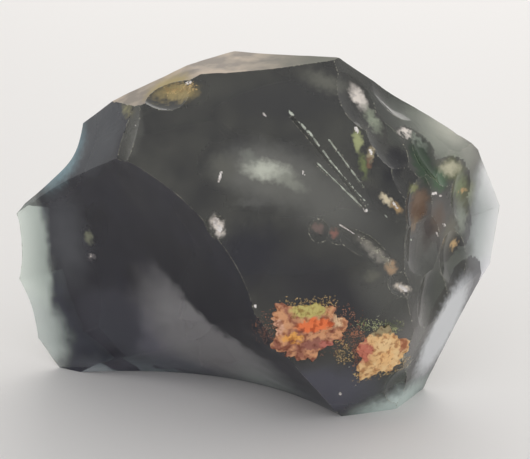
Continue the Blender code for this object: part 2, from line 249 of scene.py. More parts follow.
# The darkest and lightest tint of the dome and of the scar, and soft patches of tint over them. The scar's
# darker tints are painted shade. Most patches are painted light and shade: lighter ones paint reflections and
# light through the glass, darker ones paint shade, and the brown ones on the dome are stains. Each row of
# patches: middle, half sizes, turn about Y, tint, strength, and how wide its soft edge is as a share of its
# size
DOME_TINTS = ((0.20, 0.20, 0.19), (0.36, 0.36, 0.31))
DOME_PAINTED_LIGHT_SHADE_AND_STAINS = (
    ((10.0, -15.5, 36.5), (14, 9, 6.5), 32, (0.80, 0.80, 0.72), 0.8, 0.9),
    ((1.5, -14.8, 40.4), (10, 7, 6.0), 10, (1.0, 1.0, 0.92), 1.0, 0.9),
    ((5.0, -9.0, 50.0), (13, 6, 3.6), 0, (0.22, 0.22, 0.22), 0.8, 0.7),
    ((-1.0, -19.0, 29.0), (7, 6, 6.5), 0, (0.10, 0.10, 0.14), 0.9, 0.7),
    ((10.0, -18.5, 23.0), (14, 8, 6.0), 25, (0.12, 0.12, 0.15), 0.8, 0.6),
    ((8.0, -18.0, 5.0), (16, 8, 8.0), 0, (0.46, 0.46, 0.60), 0.9, 0.6),
    ((20.0, -16.0, 24.0), (7, 8, 9.0), 20, (0.55, 0.55, 0.50), 0.8, 0.8),
    ((23.5, -14.0, 14.0), (6, 8, 8.0), 0, (0.90, 0.85, 0.80), 0.9, 0.8),
    ((28.5, -2.0, 41.5), (12, 10, 8.0), 35, (0.85, 0.85, 0.74), 0.9, 0.9),
    ((-18.6, -8.0, 44.5), (2.2, 6, 7.0), 10, (0.62, 0.62, 0.55), 0.9, 0.6),
    ((27.0, -8.0, 29.0), (6, 8, 8.0), 20, (0.80, 0.76, 0.70), 0.8, 0.8),
    ((25.6, -6.5, 40.2), (4.6, 6, 2.2), 52, (0.03, 0.09, 0.04), 0.95, 0.6),
    ((28.6, -6.0, 36.2), (3.4, 5, 2.0), 40, (0.05, 0.14, 0.05), 0.9, 0.7),
    ((30.6, -3.0, 36.4), (3.6, 5, 2.2), 20, (0.80, 0.88, 0.46), 0.9, 0.7),
    ((33.0, -1.0, 31.5), (2.6, 6, 4.0), 0, (0.85, 0.88, 0.50), 0.8, 0.8),
    ((20.4, -9.0, 39.0), (2.6, 6, 5.0), 30, (0.06, 0.06, 0.08), 0.9, 0.6),
    ((25.0, -11.0, 33.4), (2.2, 6, 3.0), 15, (0.66, 0.34, 0.16), 0.9, 0.5),
    ((26.6, -9.6, 29.0), (1.8, 6, 4.0), 0, (0.20, 0.12, 0.10), 0.7, 0.7),
)
# The scar: darker tints of painted shade, and patches of painted reflection of the floor, the brightest low
# down, and of painted shade
SCAR_PAINTED_SHADE_TINTS = ((0.02, 0.02, 0.05), (0.05, 0.05, 0.10))
SCAR_PAINTED_LIGHT_AND_SHADE = (
    ((-31.0, -2.0, 24.0), (6, 9, 14.0), 0, (0.42, 0.44, 0.50), 0.8, 0.9),
    ((-13.0, -7.0, 7.0), (21, 14, 10.0), 24, (0.62, 0.60, 0.74), 0.9, 0.9),
    ((-7.0, -9.5, 10.0), (19, 14, 10.5), 45, (1.0, 0.97, 1.0), 1.0, 0.6),
    ((-4.9, -12.0, 19.2), (18, 16, 5.2), 38, (0.03, 0.03, 0.06), 1.0, 0.25),
    ((-18.0, -4.0, 1.0), (18, 9, 4.0), 0, (0.50, 0.50, 0.64), 0.8, 0.8),
    ((-24.0, -3.0, 11.0), (8, 9, 6.5), 0, (0.16, 0.16, 0.23), 0.95, 0.5),
    ((-25.5, -4.0, 43.0), (9.5, 9, 7.0), -45, (0.20, 0.22, 0.27), 1.0, 0.4),
)
# Lighter tint along the thin edges: it lets the light through them untinted, and its haze also paints them
# lighter as if lit from behind
EDGE_SEE_THROUGH_AND_PAINTED_LIGHT = (
    ((-44.0, 3.0, 20.0), (11.3, 30, 26.0), -1, (0.86, 0.93, 0.88), 1.0, 0.14),
    ((-38.0, 3.0, 5.0), (8.5, 30, 9.0), 0, (0.72, 0.78, 0.76), 1.0, 0.5),
    ((-34.0, 2.0, 42.0), (8.0, 14, 12.0), 0, (0.70, 0.94, 1.0), 1.0, 0.5),
    ((42.0, 0.0, 27.0), (10.0, 24, 16.0), 8, (0.97, 0.99, 1.0), 1.0, 0.35),
    ((34.0, -4.0, 9.0), (7.4, 20, 14.0), 25, (0.95, 0.95, 1.0), 1.0, 0.3),
    ((22.0, -12.0, -0.5), (10.5, 18, 5.0), -8, (0.88, 1.0, 0.95), 1.0, 0.3),
)
# Over the crest's painted reflection: painted shade on its right half, and an ochre stain on its left
CREST_PAINTED_SHADE_AND_STAIN = (
    ((19.0, -2.0, 53.0), (24, 20, 12.0), 0, (0.13, 0.13, 0.10), 1.0, 0.6),
    ((-13.0, -6.0, 50.5), (5, 6, 4.0), 0, (0.42, 0.33, 0.14), 0.9, 0.6),
)
# Soft bruises and stains, painted highlights and painted shade, and milky zones along the edges that paint
# the light coming through them, all painted in the same way
BRUISES_AND_PAINTED_LIGHT = (
    ((2.6, -14.8, 39.8), (9.5, 6, 4.6), 16, (0.15, 0.15, 0.13), 0.9, 0.95),
    ((1.6, -14.8, 40.8), (5.2, 5, 1.9), 8, (0.62, 0.64, 0.54), 1.0, 0.9),
    ((-1.0, -15.0, 42.6), (2.4, 5, 1.4), 32, (0.22, 0.23, 0.20), 0.9, 0.9),
    ((5.0, -14.8, 39.2), (4.2, 5, 1.3), 26, (0.30, 0.31, 0.26), 0.8, 0.9),
    ((-4.8, -15.4, 41.4), (3.6, 5, 3.0), 30, (0.13, 0.13, 0.11), 0.9, 0.9),
    ((-0.6, -17.0, 36.6), (3.6, 4, 0.9), -4, (0.12, 0.12, 0.11), 0.8, 0.9),
    ((-5.7, -18.3, 33.3), (1.2, 4, 2.0), -22, (0.90, 0.82, 0.74), 1.0, 0.7),
    ((15.6, -5.4, 49.0), (1.2, 5, 3.0), -34, (0.90, 0.82, 0.74), 1.0, 0.8),
    ((17.6, -7.4, 46.2), (1.1, 5, 3.6), -32, (0.34, 0.38, 0.28), 0.9, 0.9),
    ((15.3, -10.1, 44.0), (0.9, 4, 2.2), -10, (0.42, 0.45, 0.22), 1.0, 0.8),
    ((16.1, -12.2, 40.6), (0.8, 4, 2.6), -12, (0.20, 0.24, 0.09), 0.9, 0.9),
    ((17.1, -11.2, 42.0), (0.9, 4, 1.2), 10, (0.50, 0.42, 0.26), 1.0, 0.8),
    ((16.9, -11.8, 40.9), (0.7, 4, 0.9), 0, (0.22, 0.12, 0.07), 0.9, 0.8),
    ((22.9, -5.1, 43.5), (1.5, 4, 0.6), 28, (0.88, 0.80, 0.72), 1.0, 0.8),
    ((25.2, -4.9, 41.6), (3.0, 4, 0.8), 42, (0.28, 0.32, 0.26), 0.9, 0.9),
    ((25.6, -7.0, 38.8), (2.0, 6, 4.6), -24, (0.02, 0.05, 0.02), 1.0, 0.6),
    ((28.6, -6.2, 36.0), (2.2, 5, 2.4), -30, (0.05, 0.12, 0.05), 1.0, 0.8),
    ((30.5, -3.6, 36.9), (2.8, 5, 1.5), 14, (0.62, 0.59, 0.42), 1.0, 0.85),
    ((32.2, -2.2, 33.4), (1.7, 5, 3.0), 0, (0.24, 0.29, 0.15), 0.9, 0.9),
    ((25.0, -10.8, 34.4), (2.0, 5, 2.1), -16, (0.20, 0.13, 0.085), 1.0, 0.8),
    ((24.0, -11.6, 36.4), (1.2, 4, 1.4), -10, (0.24, 0.25, 0.09), 1.0, 0.8),
    ((24.2, -12.0, 31.0), (0.9, 4, 2.0), 8, (0.20, 0.13, 0.07), 0.9, 0.8),
    ((19.5, -13.7, 35.8), (1.7, 4, 0.8), 40, (0.76, 0.66, 0.46), 1.0, 0.7),
    ((21.2, -13.7, 34.4), (1.5, 4, 0.8), 46, (0.46, 0.31, 0.15), 1.0, 0.8),
    ((28.4, -8.6, 30.6), (2.2, 5, 3.6), 0, (0.13, 0.09, 0.065), 0.9, 0.9),
    ((30.6, -6.4, 27.0), (2.4, 5, 4.2), 6, (0.17, 0.16, 0.12), 0.9, 0.9),
    ((32.4, -3.4, 28.5), (1.6, 7, 4.2), -8, (0.32, 0.35, 0.29), 0.85, 0.95),
    ((31.3, -5.1, 24.5), (0.9, 4, 1.2), 0, (0.62, 0.42, 0.20), 1.0, 0.7),
    ((32.8, -1.7, 32.4), (0.8, 4, 0.7), 0, (0.56, 0.38, 0.18), 1.0, 0.7),
    ((9.2, -17.7, 32.6), (1.5, 4, 0.9), 20, (0.22, 0.16, 0.14), 1.0, 0.9),
    ((11.6, -17.5, 31.8), (1.1, 4, 0.8), 30, (0.30, 0.15, 0.12), 1.0, 0.9),
    ((17.6, -16.7, 28.6), (4.2, 4, 1.1), 42, (0.30, 0.28, 0.24), 0.95, 0.8),
    ((20.3, -16.5, 26.0), (1.5, 4, 1.2), 45, (0.46, 0.32, 0.20), 1.0, 0.8),
    ((17.4, -17.7, 24.9), (1.8, 4, 1.4), 0, (0.15, 0.15, 0.12), 0.8, 0.9),
    ((22.3, -16.2, 22.2), (2.0, 4, 0.8), 34, (0.88, 0.78, 0.66), 1.0, 0.8),
    ((-12.2, -6.8, 50.3), (4.8, 5, 1.7), -8, (0.40, 0.31, 0.13), 0.95, 0.7),
    ((-18.9, -4.8, 47.4), (1.9, 4, 1.8), 0, (0.34, 0.31, 0.13), 0.95, 0.8),
    ((10.5, -5.0, 51.6), (5.0, 5, 1.8), 20, (0.17, 0.17, 0.14), 0.8, 0.9),
    ((-26.7, -2.8, 25.2), (1.2, 4, 1.8), 0, (0.20, 0.21, 0.14), 0.9, 0.9),
    ((-26.6, -2.4, 21.7), (0.9, 4, 0.8), 0, (0.24, 0.22, 0.22), 0.8, 0.9),
    ((-31.2, 1.0, 38.4), (4.6, 12, 8.0), 34, (0.28, 0.48, 0.55), 1.0, 0.95),
    ((30.0, -7.0, 11.2), (4.2, 12, 10.8), 29, (0.70, 0.72, 0.74), 1.0, 0.5),
    ((22.0, -12.0, 0.6), (9.0, 12, 3.2), -6, (0.60, 0.70, 0.66), 0.95, 0.8),
)

# The matt materials. Each row: name, roughness, darkest and lightest tint, scale of the noise between them
MATT_LOOKS = {
    # The crest: a matt stand-in painted in the colours of the bright reflection along the top
    "crest": ("crest_painted_reflection", 0.7, (0.30, 0.26, 0.22), (0.52, 0.43, 0.34), 260.0),
    # crushed glass along the tear lines and a crack, lighter as painted highlight too
    "frost_and_painted_highlight": ("frost_and_painted_highlight", 0.5, (0.30, 0.32, 0.27), (0.62, 0.66, 0.56), 900.0),
    # painted highlights: bright specks that stand in for glints of light
    "painted_glint": ("painted_glint", 0.4, (0.55, 0.50, 0.46), (0.95, 0.90, 0.86), 900.0),
    # lighter marks, and the painted highlights along sharp edges and on a streak
    "pale_and_painted_highlight": ("pale_bruise_and_painted_highlight", 0.5, (0.18, 0.18, 0.14), (0.48, 0.46, 0.36), 900.0),
    "green": ("green_glass", 0.4, (0.10, 0.12, 0.04), (0.42, 0.44, 0.22), 900.0),
    "ochre": ("ochre_stain", 0.7, (0.30, 0.20, 0.08), (0.66, 0.46, 0.20), 900.0),
    "rust": ("rust_stain", 0.7, (0.16, 0.07, 0.05), (0.42, 0.18, 0.10), 900.0),
}

# The two crusts: place on the front (x, z), half width, half height, and how wavy the edge is
CRUSTS = (
    ("rust_crust_left", (7.5, 17.3), 5.8, 4.7, (0.10, 0.9), (0.07, 2.4)),
    ("rust_crust_right", (19.2, 12.0), 3.8, 4.5, (0.09, 2.2), (0.08, 0.4)),
)
LEFT_CRUST_PATCHES = (
    ((0.5, 3.6, 0.5), (3.6, 1.6, 3), 0, (0.66, 0.58, 0.20), 0.95, 0.4),
    ((-4.6, 1.0, 0.5), (1.6, 1.8, 3), 0, (0.86, 0.50, 0.34), 0.9, 0.4),
    ((1.2, 1.1, 0.5), (3.4, 1.3, 3), 0, (1.0, 0.24, 0.08), 0.95, 0.4),
    ((-2.0, -0.9, 0.5), (1.7, 1.0, 3), 0, (1.0, 0.50, 0.13), 0.95, 0.4),
    ((1.6, -2.2, 0.5), (3.2, 1.4, 3), 0, (0.36, 0.14, 0.11), 0.9, 0.5),
    ((4.6, 1.4, 0.5), (1.2, 1.6, 3), 0, (0.95, 0.68, 0.42), 0.9, 0.5),
    ((3.2, -2.6, 0.5), (1.6, 1.3, 3), 0, (0.66, 0.22, 0.17), 0.8, 0.5),
)
RIGHT_CRUST_PATCHES = (
    ((-3.0, 0.8, 0.5), (1.5, 2.4, 3), 0, (0.66, 0.20, 0.14), 0.95, 0.4),
    ((0.5, 4.2, 0.5), (4.0, 1.0, 3), 0, (0.36, 0.31, 0.18), 0.9, 0.4),
    ((3.4, 1.8, 0.5), (0.9, 2.6, 3), 0, (0.60, 0.25, 0.14), 0.8, 0.5),
    ((0.6, -0.6, 0.5), (1.8, 1.8, 3), 0, (1.0, 0.62, 0.28), 0.9, 0.5),
)
# Slot, name, darkest and lightest tint and patches of each crust's material, and where its noise starts
CRUST_LOOKS = {
    "rust_crust_left": ("rust_crust", "rust_look", (0.42, 0.17, 0.11), (0.82, 0.42, 0.22),
                        LEFT_CRUST_PATCHES, 3.0),
    "rust_crust_right": ("ochre_crust", "ochre_look", (0.92, 0.58, 0.27), (1.0, 0.70, 0.36),
                         RIGHT_CRUST_PATCHES, 9.0),
}
CRUST_TOP = 0.75
CRUST_BOTTOM = 0.8

# Lumps and grains of a crust, and the rags of its edge: how big, and how long
CRUST_GRAINS = ((0.34, 1.7), (0.22, 0.62), (0.10, 0.25))
CRUST_RAGS = ((0.20, 1.5), (0.13, 0.55))

# How far the faces of the glass wander from their plain shape: size of the swell, and how long it is
SWELLS = ((0.16, 9.0), (0.05, 2.6))

# The base stays flat up to this height
FLAT_UP_TO = 0.3

# How near a point has to be to a plain face to lie on it
ON_FACE = 0.03

# The camera, and the light
AIM = (1.34, -4.0, 27.0)
CAMERA_HEIGHT_ANGLE = 22.0
CAMERA_DISTANCE = 240.0
PIXEL = 0.158
PHOTO_WIDTH = 530
SENSOR = 36.0
SKY_STRENGTH = 0.93
SKY_FRONT = (0.76, 0.76, 0.78)
SKY_BACK = (1.0, 0.99, 0.96)
FLOOR_COLOUR = (0.80, 0.785, 0.77)

# The soft lamp behind the lump: metres from the origin, size in metres, power in watts, colour
WINDOW_AT = (0.22, 0.92, 0.52)
WINDOW_SIZE = (1.1, 0.6)
WINDOW_POWER = 3.4
WINDOW_COLOUR = (1.0, 0.97, 0.94)


def collection(name):
    made = bpy.data.collections.new(name)
    bpy.context.scene.collection.children.link(made)
    return made


def direction(azimuth, elevation):
    a = math.radians(azimuth)
    e = math.radians(elevation)
    return Vector((math.sin(a) * math.cos(e), -math.cos(a) * math.cos(e), math.sin(e)))


def face_frame(at, faces, roll):
    """The matrix, in metres, that lays local +Z along the way a face looks."""
    out = direction(*faces)
    side = Vector((0, 0, 1)).cross(out).normalized()
    up = out.cross(side)
    turn = Matrix.Rotation(math.radians(roll), 3, "Z")
    axes = Matrix((side, up, out)).transposed() @ turn
    return Matrix.Translation(Vector(at) * MM) @ axes.to_4x4()


def rise(radius, distance):
    """How far a face of this radius has risen or dropped at a distance from its middle."""
    return distance * distance / (2 * radius) if radius else 0.0


def reach_of(radius):
    """Half the length of a cutter: to the far side of the lump, or to where a tight scoop has left it."""
    whole = WIDTH * CUTTER_REACH
    return min(whole, math.sqrt(2 * radius * CLEAR)) if radius > 0 else whole


def slab(name, cells, shape, thickness, place):
    """A closed block. Its lower side is a sheet that shape(x, y) lays out for x and y from -1 to 1."""
    mesh = bpy.data.meshes.new(name)
    bm = bmesh.new()
    bmesh.ops.create_grid(bm, x_segments=cells[0], y_segments=cells[1], size=1.0)
    for v in bm.verts:
        v.co = Vector(shape(v.co.x, v.co.y)) * MM
    rim = [e for e in bm.edges if e.is_boundary]
    raised = bmesh.ops.extrude_edge_only(bm, edges=rim)["geom"]
    for v in raised:
        if isinstance(v, bmesh.types.BMVert):
            v.co.z = thickness * MM
    lid = [e for e in raised if isinstance(e, bmesh.types.BMEdge)]
    bmesh.ops.contextual_create(bm, geom=[e for e in lid if e.is_boundary])
    bmesh.ops.recalc_face_normals(bm, faces=bm.faces[:])
    bm.to_mesh(mesh)
    bm.free()
    block = bpy.data.objects.new(name, mesh)
    block.matrix_world = place
    return block


def cutter(name, at, faces, radii, roll, cell=CELL):
    """A block whose lower side is the wanted face and that covers everything outside it."""
    reach = [reach_of(radius) for radius in radii]
    cells = [max(1, round(2 * r / cell)) for r in reach]

    def shape(x, y):
        across = x * reach[0]
        along = y * reach[1]
        return across, along, rise(radii[0], across) + rise(radii[1], along)

    top = CLEAR + max(0.0, rise(radii[0], reach[0]) + rise(radii[1], reach[1]))
    return slab(name, cells, shape, top, face_frame(at, faces, roll))


def edge_scoop(name, at, faces, radius, half_length, roll):
    """A block that digs a long shell scar behind an edge: straight to the edge, round further in, with
    steep ends."""
    reach = reach_of(radius)
    inwards = 1 if at[0] > 0 else -1

    def shape(x, y):
        across = x * reach
        return across, y * half_length, rise(radius, max(0.0, across * inwards)) + CLEAR * y ** 6

    cells = (round(2 * reach / CELL), round(2 * half_length / CELL))
    return slab(name, cells, shape, CLEAR * 2.2, face_frame(at, faces, roll))


def cut(body, block, cutters):
    cutters.objects.link(block)
    knife = body.modifiers.new(block.name, "BOOLEAN")
    knife.operation = "DIFFERENCE"
    knife.object = block
    knife.solver = "MANIFOLD"


def blank(name):
    """The block that the faces are broken from: it stands on z = 0 and has some spare on its other sides."""
    mesh = bpy.data.meshes.new(name)
    bm = bmesh.new()
    size = Vector((WIDTH + 2 * SPARE, DEPTH + 2 * SPARE, HEIGHT + SPARE))
    bmesh.ops.create_cube(bm, size=1.0)
    bmesh.ops.scale(bm, verts=bm.verts[:], vec=size * MM)
    bmesh.ops.translate(bm, verts=bm.verts[:], vec=(0, 0, size.z * MM / 2))
    bm.to_mesh(mesh)
    bm.free()
    return bpy.data.objects.new(name, mesh)


def settle(body, cutters):
    """Make the cuts final and take the cutters away."""
    bpy.context.view_layer.update()
    graph = bpy.context.evaluated_depsgraph_get()
    mesh = bpy.data.meshes.new_from_object(body.evaluated_get(graph))
    body.modifiers.clear()
    body.data = mesh
    for block in list(cutters.objects):
        bpy.data.objects.remove(block, do_unlink=True)


def surface(body):
    bpy.context.view_layer.update()
    return BVHTree.FromObject(body, bpy.context.evaluated_depsgraph_get())


def on_side(tree, side, place):
    """The point of the front or the back that lies straight behind a place (x, z), and which way it faces."""
    away = 1 if side == "front" else -1
    start = Vector((place[0], -away * 2 * DEPTH, place[1])) * MM
    hit, normal, _, _ = tree.ray_cast(start, Vector((0, away, 0)))
    return hit / MM, normal


def chip(tree, name, side, place, faces, radii, roll, depth):
    """A small scoop out of the face that lies at a place."""
    hit, _ = on_side(tree, side, place)
    at = hit - direction(*faces) * depth
    return cutter(name, at, faces, radii, roll, FINE_CELL)


def tear_line(tree, name, start, end, depth):
    """A long, shallow groove between two places of the front, bent to follow it."""
    middle = [(a + b) / 2 for a, b in zip(start, end)]
    first, _ = on_side(tree, "front", start)
    last, _ = on_side(tree, "front", end)
    hit, out = on_side(tree, "front", middle)
    along = (last - first).normalized()
    out = (out - along * out.dot(along)).normalized()
    length = (last - first).length
    bow = (hit - (first + last) / 2).dot(out)
    bend = -length * length / (8 * bow)
    half_width = math.sqrt(2 * TEAR_RADIUS * 3 * depth)

    def shape(x, y):
        s = x * length / 2
        t = y * half_width
        return s, t, rise(bend, s) + rise(TEAR_RADIUS, t) - depth

    axes = Matrix((along, out.cross(along), out)).transposed()
    place = Matrix.Translation(hit * MM) @ axes.to_4x4()
    return slab(name, (round(length / CELL), 16), shape, 3.0, place)


def wander(point):
    """Where a point of a plain face really lies: the faces of broken glass swell a little."""
    moved = point.copy()
    for size, length in SWELLS:
        moved += noise.noise_vector(point / length) * size
    return moved


def glass_lump(pieces, cutters):
    body = blank("glass_lump")
    pieces.objects.link(body)
    for row in FRONT_FACES:
        cut(body, cutter(*row), cutters)
    for row in THIN_EDGE_SCOOPS:
        cut(body, edge_scoop(*row), cutters)
    for row in BACK_FACES:
        cut(body, cutter(*row), cutters)
    settle(body, cutters)
    tree = surface(body)
    for row in CHIPS:
        cut(body, chip(tree, *row), cutters)
    for row in TEAR_LINES:
        cut(body, tear_line(tree, *row), cutters)
    settle(body, cutters)
    body.data.materials.clear()
    sort_faces(body)
    for v in body.data.vertices:
        if v.co.z > FLAT_UP_TO * MM:
            v.co = wander(v.co / MM) * MM
    return body, tree


def on_face(row, points):
    """Which of the points lie on a plain face, before the face wanders."""
    _, at, faces, radii, roll = row
    to_face = np.array(face_frame(at, faces, roll).inverted())
    local = (points @ to_face[:3, :3].T + to_face[:3, 3]) / MM
    bend = [local[:, k] ** 2 / (2 * radii[k]) if radii[k] else 0.0 for k in (0, 1)]
    return abs(local[:, 2] - bend[0] - bend[1]) < ON_FACE


def sort_faces(body):
    """Note which faces belong to the scar, and give the crest its own material, which paints its reflection.
    """
    middles = np.empty(len(body.data.polygons) * 3)
    body.data.polygons.foreach_get("center", middles)
    middles = middles.reshape(-1, 3)
    look = np.zeros(len(middles), dtype=np.int32)
    scar = np.zeros(len(middles), dtype=np.float32)
    for row in FRONT_FACES:
        if row[0] in SCAR_FACES:
            scar[on_face(row, middles)] = 1.0
        if row[0] in CREST_FACES:
            look[on_face(row, middles)] = LOOKS.index("crest")
    body.data.polygons.foreach_set("material_index", look)
    body.data.attributes.new("scar", "FLOAT", "FACE").data.foreach_set("value", scar)


def away_from(row, points):
    """How far points are from the line of a mark, as a share of its half width."""
    _, start, end, width, _ = row
    start = start * DEPTH_COUNTS
    line = end * DEPTH_COUNTS - start
    points = points * DEPTH_COUNTS
    t = np.clip((points - start) @ line / (line @ line), 0, 1)
    return np.linalg.norm(points - start - t[:, None] * line, axis=1) / width


def middles_of(bm):
    return np.array([face.calc_center_median() for face in bm.faces]) / MM


def edges_with_painted_highlight(bm):
    """The sharp edges above the base that get painted highlights, without those inside the scar."""
    scar = bm.faces.layers.float["scar"]
    sharp = math.radians(HIGHLIGHT_EDGE_ANGLE)
    return [e for e in bm.edges if len(e.link_faces) == 2 and e.calc_face_angle() > sharp
            and min(v.co.z for v in e.verts) > EDGE_HIGHLIGHT_ABOVE * MM and sum(f[scar] for f in e.link_faces) < 2]


def to_front(bm):
    """Which faces look at least a little to the front: the back has no marks, bruises or painted light."""
    return np.array([face.normal.y < 0.1 for face in bm.faces])


def near_bruises_and_painted_light(points):
    """Which of the points lie in or near a soft patch of bruising, stain or painted light."""
    found = np.zeros(len(points), dtype=bool)
    for middle, half, turn, _, _, _ in BRUISES_AND_PAINTED_LIGHT:
        axes = np.array(Matrix.Rotation(math.radians(turn), 3, "Y"))
        found |= np.linalg.norm((points - middle) @ axes / half, axis=1) < BRUISE_AND_PAINTED_LIGHT_REACH
    return found


def scatter(point):
    """A number from 0 to 1 that looks random but depends on the place alone."""
    mixed = math.sin(point[0] * 127.1 + point[1] * 311.7 + point[2] * 74.7) * 43758.5453
    return mixed - math.floor(mixed)


def raggedness(point, length):
    return 0.75 + 0.9 * noise.noise(point / length) + 0.5 * noise.noise(point / length * 2.6)


def refine(bm):
    """Make the faces under the marks and along the sharp edges small enough to colour one by one."""
    for longest in MARK_CELLS:
        bm.faces.ensure_lookup_table()
        middles = middles_of(bm)
        near = np.zeros(len(middles), dtype=bool)
        for row in MARKS:
            near |= away_from(row, middles) < 1 + MARK_MARGIN / row[3]
        chosen = {bm.faces[k] for k in np.flatnonzero(near)}
        for edge in edges_with_painted_highlight(bm):
            chosen.update(edge.link_faces)
        long_edges = {e for face in chosen for e in face.edges if e.calc_length() > longest * MM}
        bmesh.ops.subdivide_edges(bm, edges=list(long_edges), cuts=1, use_grid_fill=True)
        bmesh.ops.triangulate(bm, faces=[f for f in bm.faces if len(f.verts) > 4])
    bm.faces.ensure_lookup_table()


def speckle(body):
    """Give the sharp edges their painted highlights, and the bruises, painted light and marks their
    materials, face by face.
    """
    bm = bmesh.new()
    bm.from_mesh(body.data)
    refine(bm)
    # painted highlights: lighter faces scattered along the sharp edges
    for edge in edges_with_painted_highlight(bm):
        for face in edge.link_faces:
            middle = face.calc_center_median() / MM
            if scatter(middle) < EDGE_HIGHLIGHT_SHARE * raggedness(middle, 3.0):
                face.material_index = LOOKS.index("pale_and_painted_highlight")
    middles = middles_of(bm)
    front = to_front(bm)
    # faces under the soft bruises and stains, painted highlights, painted shade and painted light of the
    # edges
    for k in np.flatnonzero(near_bruises_and_painted_light(middles) & front):
        if bm.faces[k].material_index == LOOKS.index("glass"):
            bm.faces[k].material_index = LOOKS.index("bruise_and_painted_light")
    for row in reversed(MARKS):
        away = away_from(row, middles)
        for k in np.flatnonzero((away < 1) & front):
            middle = Vector(middles[k])
            cover = row[4] * min(1.0, (1 - away[k]) * 1.6) * raggedness(middle, 0.9)
            needed = scatter(middle)
            if row[4] >= SOLID:
                needed = SOLID_EDGE + SOLID_GRAIN * (needed - 0.5)
            if needed < cover:
                bm.faces[k].material_index = LOOKS.index(row[0])
    bm.to_mesh(body.data)
    bm.free()


def crust_lump(pieces, tree, name, place, half_width, half_height, waves, start_at):
    """A crumbly lump that follows the front: coarse lumps, fine grains and a ragged edge."""
    hit, out = on_side(tree, "front", place)
    side = Vector((0, 0, 1)).cross(out).normalized()
    axes = Matrix((side, out.cross(side), out)).transposed()
    mesh = bpy.data.meshes.new(name)
    bm = bmesh.new()
    bmesh.ops.create_icosphere(bm, subdivisions=6, radius=1.0)
    dome = FRONT_FACES[0][3]
    for v in bm.verts:
        x, y, z = v.co
        angle = math.atan2(y, x)
        edge = 1 + sum(size * math.sin((3 + 2 * k) * angle + start)
                       for k, (size, start) in enumerate(waves))
        s = x * half_width * edge
        t = y * half_height * edge
        spot = Vector((s, t, start_at))
        ragged = sum((size * noise.noise(spot / length) for size, length in CRUST_RAGS), 1.0)
        s *= ragged
        t *= ragged
        grain = sum(size * noise.noise(spot / length) for size, length in CRUST_GRAINS)
        height = z * CRUST_TOP + grain * min(1.0, max(0.0, z) * 2) if z > 0 else z * CRUST_BOTTOM
        v.co = Vector((s, t, height + rise(dome[0], s) + rise(dome[1], t))) * MM
    bm.to_mesh(mesh)
    bm.free()
    made = bpy.data.objects.new(name, mesh)
    made.matrix_world = Matrix.Translation(hit * MM) @ axes.to_4x4()
    pieces.objects.link(made)
    for polygon in mesh.polygons:
        polygon.use_smooth = True
    return made


def new_material(name):
    made = bpy.data.materials.new(name)
    made.use_nodes = True
    return made, made.node_tree, made.node_tree.nodes["Principled BSDF"]


def place_of(tree, wobble, length):
    """The place on the piece, shaken a little by noise so that patches get uneven edges."""
    place = tree.nodes.new("ShaderNodeTexCoord")
    shake = tree.nodes.new("ShaderNodeTexNoise")
    shake.inputs["Scale"].default_value = 1 / (length * MM)
    shake.inputs["Detail"].default_value = 3.0
    tree.links.new(place.outputs["Object"], shake.inputs["Vector"])
    centred = tree.nodes.new("ShaderNodeVectorMath")
    centred.operation = "SUBTRACT"
    centred.inputs[1].default_value = (0.5, 0.5, 0.5)
    tree.links.new(shake.outputs["Color"], centred.inputs[0])
    moved = tree.nodes.new("ShaderNodeVectorMath")
    moved.operation = "MULTIPLY_ADD"
    moved.inputs[1].default_value = (wobble * MM,) * 3
    tree.links.new(centred.outputs["Vector"], moved.inputs[0])
    tree.links.new(place.outputs["Object"], moved.inputs[2])
    return moved.outputs["Vector"]


def mixed(tree, amount, first, second):
    """One colour over another."""
    mix = tree.nodes.new("ShaderNodeMix")
    mix.data_type = "RGBA"
    tree.links.new(amount, mix.inputs["Factor"])
    for colour, socket in ((first, mix.inputs[6]), (second, mix.inputs[7])):
        if isinstance(colour, tuple):
            socket.default_value = (*colour, 1)
        else:
            tree.links.new(colour, socket)
    return mix.outputs[2]


def painted(tree, colour, patches, place):
    """Soft patches of tint over a colour."""
    for middle, half, turn, tint, strength, soft in patches:
        spot = tree.nodes.new("ShaderNodeMapping")
        spot.vector_type = "TEXTURE"
        spot.inputs["Location"].default_value = Vector(middle) * MM
        spot.inputs["Rotation"].default_value = (0, math.radians(turn), 0)
        spot.inputs["Scale"].default_value = Vector(half) * MM
        tree.links.new(place, spot.inputs["Vector"])
        away = tree.nodes.new("ShaderNodeVectorMath")
        away.operation = "LENGTH"
        tree.links.new(spot.outputs["Vector"], away.inputs[0])
        cover = tree.nodes.new("ShaderNodeMapRange")
        cover.interpolation_type = "SMOOTHSTEP"
        cover.inputs["From Min"].default_value = 1.0
        cover.inputs["From Max"].default_value = 1 - soft
        cover.inputs["To Max"].default_value = strength
        tree.links.new(away.outputs["Value"], cover.inputs["Value"])
        colour = mixed(tree, cover.outputs["Result"], colour, tint)
    return colour


def noise_between(tree, low, high, scale, first, second):
    """Two colours, mixed by noise between a low and a high value."""
    place = tree.nodes.new("ShaderNodeTexCoord")
    uneven = tree.nodes.new("ShaderNodeTexNoise")
    uneven.inputs["Scale"].default_value = scale
    uneven.inputs["Detail"].default_value = 3.0
    tree.links.new(place.outputs["Object"], uneven.inputs["Vector"])
    spread = tree.nodes.new("ShaderNodeMapRange")
    spread.inputs["From Min"].default_value = low
    spread.inputs["From Max"].default_value = high
    tree.links.new(uneven.outputs["Fac"], spread.inputs["Value"])
    return mixed(tree, spread.outputs["Result"], first, second)


